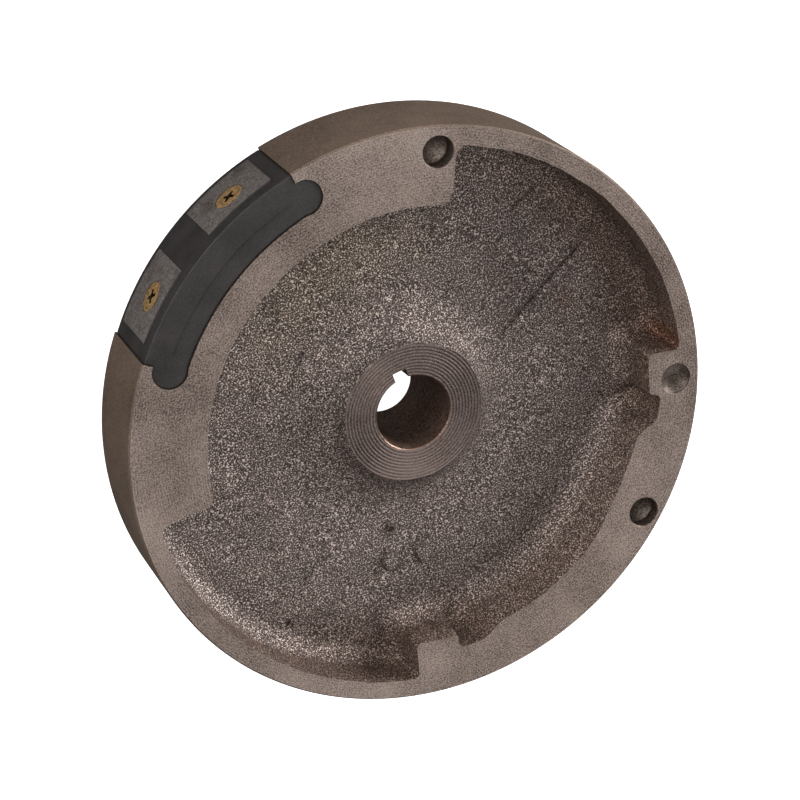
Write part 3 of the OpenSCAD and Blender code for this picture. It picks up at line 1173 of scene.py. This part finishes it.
@dataclass
class MagnetGroup:
    """The phenolic carrier in the rim's slot, with its magnets, pole shoes and screws."""

    rim_r: float
    front_z: float
    back_z: float = 8.65
    angle: float = 120.0
    carrier_gap: float = 0.15
    carrier_sink: float = 0.7
    carrier_end_sink: float = 0.4
    shoe_angle: float = 11.45
    shoe_span: float = 14.9
    shoe_low: float = 12.5
    shoe_high: float = 35.5
    shoe_flat_r: float = 92.0
    magnet_in_r: float = 84.0
    magnet_w: float = 22.0
    screw_z: float = 25.5
    screw_r: float = 2.4
    screw_tip_r: float = 75.5
    head_r: float = 4.9
    head_top_r: float = 97.2
    recess_h: float = 1.7
    slot: SlotShape = field(default_factory=SlotShape)

    def at(self, side: Side) -> Matrix:
        """Turns a piece from +X to where its magnet stands."""
        return about_z(self.angle + side.value * self.shoe_angle)

    def radial(self, side: Side) -> Matrix:
        """Lays a piece made along Z on its pole screw's line, pointing outwards."""
        return self.at(side) @ Matrix.Translation((0, 0, self.screw_z)) @ Matrix.Rotation(math.pi / 2, 4, "Y")

    def shoe_outline(self, outer_r: float, gap: float) -> list[tuple[float, float]]:
        """Outline of a pole shoe, or of the pocket that holds it.

        Args:
            outer_r: Radius of its outer face.
            gap: Clearance by which the outline is larger.

        Returns:
            The corners, counter-clockwise, about its own centreline.
        """
        half = math.radians(self.shoe_span / 2) + gap / self.rim_r
        flat = self.shoe_flat_r - gap
        arc = [(outer_r * math.cos(a), outer_r * math.sin(a)) for a in np.linspace(-half, half, 33)]
        return arc + [(flat, flat * math.tan(half)), (flat, -flat * math.tan(half))]

    def shoe(self, side: Side) -> Piece:
        """Makes a pole shoe with broken edges and a countersunk hole.

        Args:
            side: The magnet that it covers.

        Returns:
            The finished shoe.
        """
        name = f"shoe_{side.name.lower()}"
        outline = self.shoe_outline(self.rim_r - 0.1, 0)
        piece = prism(name, outline, self.shoe_low, self.shoe_high, SHOE_STEEL, bevel=0.15)
        moved(piece, self.at(side))
        low, top, head_r = self.shoe_flat_r - 2, self.rim_r + 0.8, self.head_r + 0.1
        sink_r = self.head_top_r + 0.05 - self.head_r + self.screw_r + 0.2
        tool = lathe(
            "countersink",
            [(0, low), (2.6, low), (2.6, sink_r), (head_r, self.head_top_r), (head_r, top), (0, top)],
            DARK_RECESS_BRASS,
            64,
        )
        piece = combine(piece, moved(tool, self.radial(side)), Cut.REMOVE)
        piece.data.materials.append(PHENOLIC.material())
        for polygon in piece.data.polygons:  # the ends take the dark phenolic: painted shade along the shoes' edges
            if abs(polygon.normal.z) > 0.2:
                polygon.material_index = len(piece.data.materials) - 1
        soften(piece)
        return finish_piece(piece, "shoe_steel", f"pole_shoe_{side.name.lower()}")

    def screw(self, side: Side) -> Piece:
        """Makes a flat-head screw with a cross recess showing wear and a real thread.

        Args:
            side: The shoe that it holds.

        Returns:
            The finished screw.
        """
        name = f"screw_{side.name.lower()}"
        top, head_r, shank_r = self.head_top_r, self.head_r, self.screw_r
        piece = lathe(
            name,
            [(0, 86.0), (shank_r, 86.0), (shank_r, top - head_r + shank_r), (head_r, top - 0.12),
             (head_r - 0.02, top - 0.04), (head_r - 0.12, top), (0, top)],
            BRASS,
            72,
        )
        thread = threaded_rod("thread", shank_r - 0.4, shank_r, 0.8, self.screw_tip_r, 86.4, BRASS)
        piece = combine(piece, thread, Cut.JOIN)
        wings = None
        for turn in (35.0, 125.0):
            outline = [(-2.45, -0.62), (2.45, -0.62), (2.45, 0.62), (-2.45, 0.62)]
            wing = prism("wing", outline, 0, 1, DARK_RECESS_BRASS)
            for vertex in wing.data.vertices:
                shrink = 1.0 if vertex.co.z > 0.5 else 0.42
                height = top + 0.5 if vertex.co.z > 0.5 else top - self.recess_h
                vertex.co = (vertex.co.x * shrink * 1.12, vertex.co.y * (shrink + 1) / 2, height)
            moved(wing, about_z(turn))
            wings = wing if wings is None else combine(wings, wing, Cut.JOIN)
        profile = [(0, top - 2.2), (1.0, top - 1.2), (1.35, top + 1), (0, top + 1)]
        dimple = lathe("dimple", profile, DARK_RECESS_BRASS, 16)
        wings = combine(wings, dimple, Cut.JOIN)
        piece = combine(piece, wings, Cut.REMOVE)
        moved(piece, self.radial(side))
        soften(piece)
        return finish_piece(piece, "screw_brass", f"pole_screw_{side.name.lower()}")

    def carrier(self) -> Piece:
        """Carrier with rounded edges, the line of its mould and the pockets for what it holds."""
        outer_r = self.rim_r - self.carrier_sink
        low, high = self.back_z + self.carrier_end_sink, self.front_z - self.carrier_end_sink
        piece = prism(
            "carrier", self.slot.outline(self.carrier_gap, outer_r), low, high, PHENOLIC, bevel=0.3
        )
        line_r, half = 88.6, math.radians(19)
        arc = [(line_r + 0.16, a) for a in np.linspace(-half, half, 60)]
        arc += [(line_r - 0.16, a) for a in np.linspace(half, -half, 60)]
        outline = [(r * math.cos(a), r * math.sin(a)) for r, a in arc]
        line = prism("mould_line", outline, high - 1, high + 0.14, PHENOLIC)
        piece = moved(combine(piece, line, Cut.JOIN), about_z(self.angle))
        gap = 0.05
        low, high, half = self.shoe_low, self.shoe_high, self.magnet_w / 2 + gap
        flat_r, magnet_r = self.shoe_flat_r, self.magnet_in_r - gap
        block = [(magnet_r, -half), (flat_r + 1, -half), (flat_r + 1, half), (magnet_r, half)]
        for side in Side:
            pocket = prism("pocket", self.shoe_outline(self.rim_r + 2, gap), low - gap, high + gap, PHENOLIC)
            box = prism("box", block, low - 0.5 * gap, high + 0.5 * gap, PHENOLIC)
            hole = lathe("hole", [(0, 78), (2.6, 78), (2.6, flat_r), (0, flat_r)], PHENOLIC, 32)
            moved(hole, Matrix.Translation((0, 0, self.screw_z)) @ Matrix.Rotation(math.pi / 2, 4, "Y"))
            pocket = combine(combine(pocket, box, Cut.JOIN), hole, Cut.JOIN)
            piece = combine(piece, moved(pocket, self.at(side)), Cut.REMOVE)
        soften(piece)
        return finish_piece(piece, "carrier", "magnet_carrier")

    def dress_magnets(self) -> None:
        """Gives the two magnets, which keep their CAD shape, their ferrite."""
        for side in Side:
            name = f"magnet_{side.name.lower()}"
            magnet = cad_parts[name]
            for slot in magnet.material_slots:
                slot.material = FERRITE.material()
            LOG.info("%s: CAD shape kept", name)

    def build(self) -> None:
        """Builds the carrier, then each magnet's shoe and screw."""
        self.carrier()
        for side in Side:
            self.shoe(side)
            self.screw(side)
        self.dress_magnets()


# ---- studio


@dataclass(frozen=True)
class SoftBox:
    """One soft light: direction it comes from, distance, width in metres and power in watts."""

    name: str
    azimuth: float
    elevation: float
    power: float
    width: float = 0.9
    distance: float = 1.5

    def build(self) -> None:
        """Hangs the light so that it looks at the wheel."""
        lamp = bpy.data.lights.new(self.name, "AREA")
        lamp.shape = "SQUARE"
        lamp.size = self.width
        lamp.energy = self.power
        holder = bpy.data.objects.new(self.name, lamp)
        turn, rise = math.radians(self.azimuth), math.radians(self.elevation)
        way = Vector((math.cos(turn) * math.cos(rise), math.sin(turn) * math.cos(rise), math.sin(rise)))
        holder.location = way * self.distance
        holder.rotation_euler = (-way).to_track_quat("-Z", "Y").to_euler()
        bpy.context.scene.collection.objects.link(holder)


@dataclass
class Studio:
    """Floor, soft light and camera."""

    lights: tuple = (
        SoftBox("right", 6.0, 14.0, 26.0, 0.6),
        SoftBox("top", 60.0, 12.0, 3.0),
        SoftBox("top_left", 115.0, 14.0, 10.0),
        SoftBox("left", 150.0, 12.0, 8.0),
        SoftBox("overhead", 105.0, 65.0, 8.5),
        SoftBox("below", 290.0, 35.0, 4.5),
    )
    sky: float = 0.06
    camera_at: tuple = (-170.49, 382.53, 746.63)
    look: tuple = (0.2029, -0.4556, -0.8668)
    view_up: tuple = (0.4238, 0.8389, -0.3418)
    lens: float = 116.02

    def floor(self) -> None:
        """A wide white sweep under the hub's back end."""
        reach = 4.0
        steps = 8
        spots = np.linspace(-reach, reach, steps + 1)
        verts = [(x, y, -0.0002) for y in spots for x in spots]
        row = steps + 1
        faces = [[j * row + i, j * row + i + 1, (j + 1) * row + i + 1, (j + 1) * row + i]
                 for j in range(steps) for i in range(steps)]
        sweep = new_object("sweep", verts, faces, SWEEP)
        # so white that it would light the wheel from below
        sweep.visible_diffuse = sweep.visible_glossy = False

    def camera(self) -> None:
        """A long lens that looks down on the front face."""
        data = bpy.data.cameras.new("camera")
        data.lens = self.lens
        data.sensor_width = 36.0
        data.clip_start, data.clip_end = 0.01, 20.0
        holder = bpy.data.objects.new("camera", data)
        back = -Vector(self.look).normalized()
        right = Vector(self.view_up).cross(back).normalized()
        up = back.cross(right)
        turn = Matrix((right, up, back)).transposed().to_4x4()
        holder.matrix_world = Matrix.Translation(Vector(self.camera_at) * MM) @ turn
        bpy.context.scene.collection.objects.link(holder)
        bpy.context.scene.camera = holder

    def build(self) -> None:
        """Sets the room up."""
        scene = bpy.context.scene
        scene.view_settings.view_transform = "Standard"
        world = bpy.data.worlds.new("room")
        world.use_nodes = True
        world.node_tree.nodes["Background"].inputs["Color"].default_value = linear("#ffffff")
        world.node_tree.nodes["Background"].inputs["Strength"].default_value = self.sky
        scene.world = world
        self.floor()
        self.camera()
        for light in self.lights:
            light.build()


def main() -> None:
    """Builds the room, then the casting and the magnet group to the size of the CAD casting's box."""
    logging.basicConfig(level=logging.INFO, format="%(message)s")
    Studio().build()
    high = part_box("flywheel_casting")[1]
    rim_r, front_z = high.x / MM, high.z / MM
    FlywheelCasting(rim_r=rim_r, front_z=front_z).build()
    MagnetGroup(rim_r=rim_r, front_z=front_z).build()


if __name__ == "__main__":
    main()
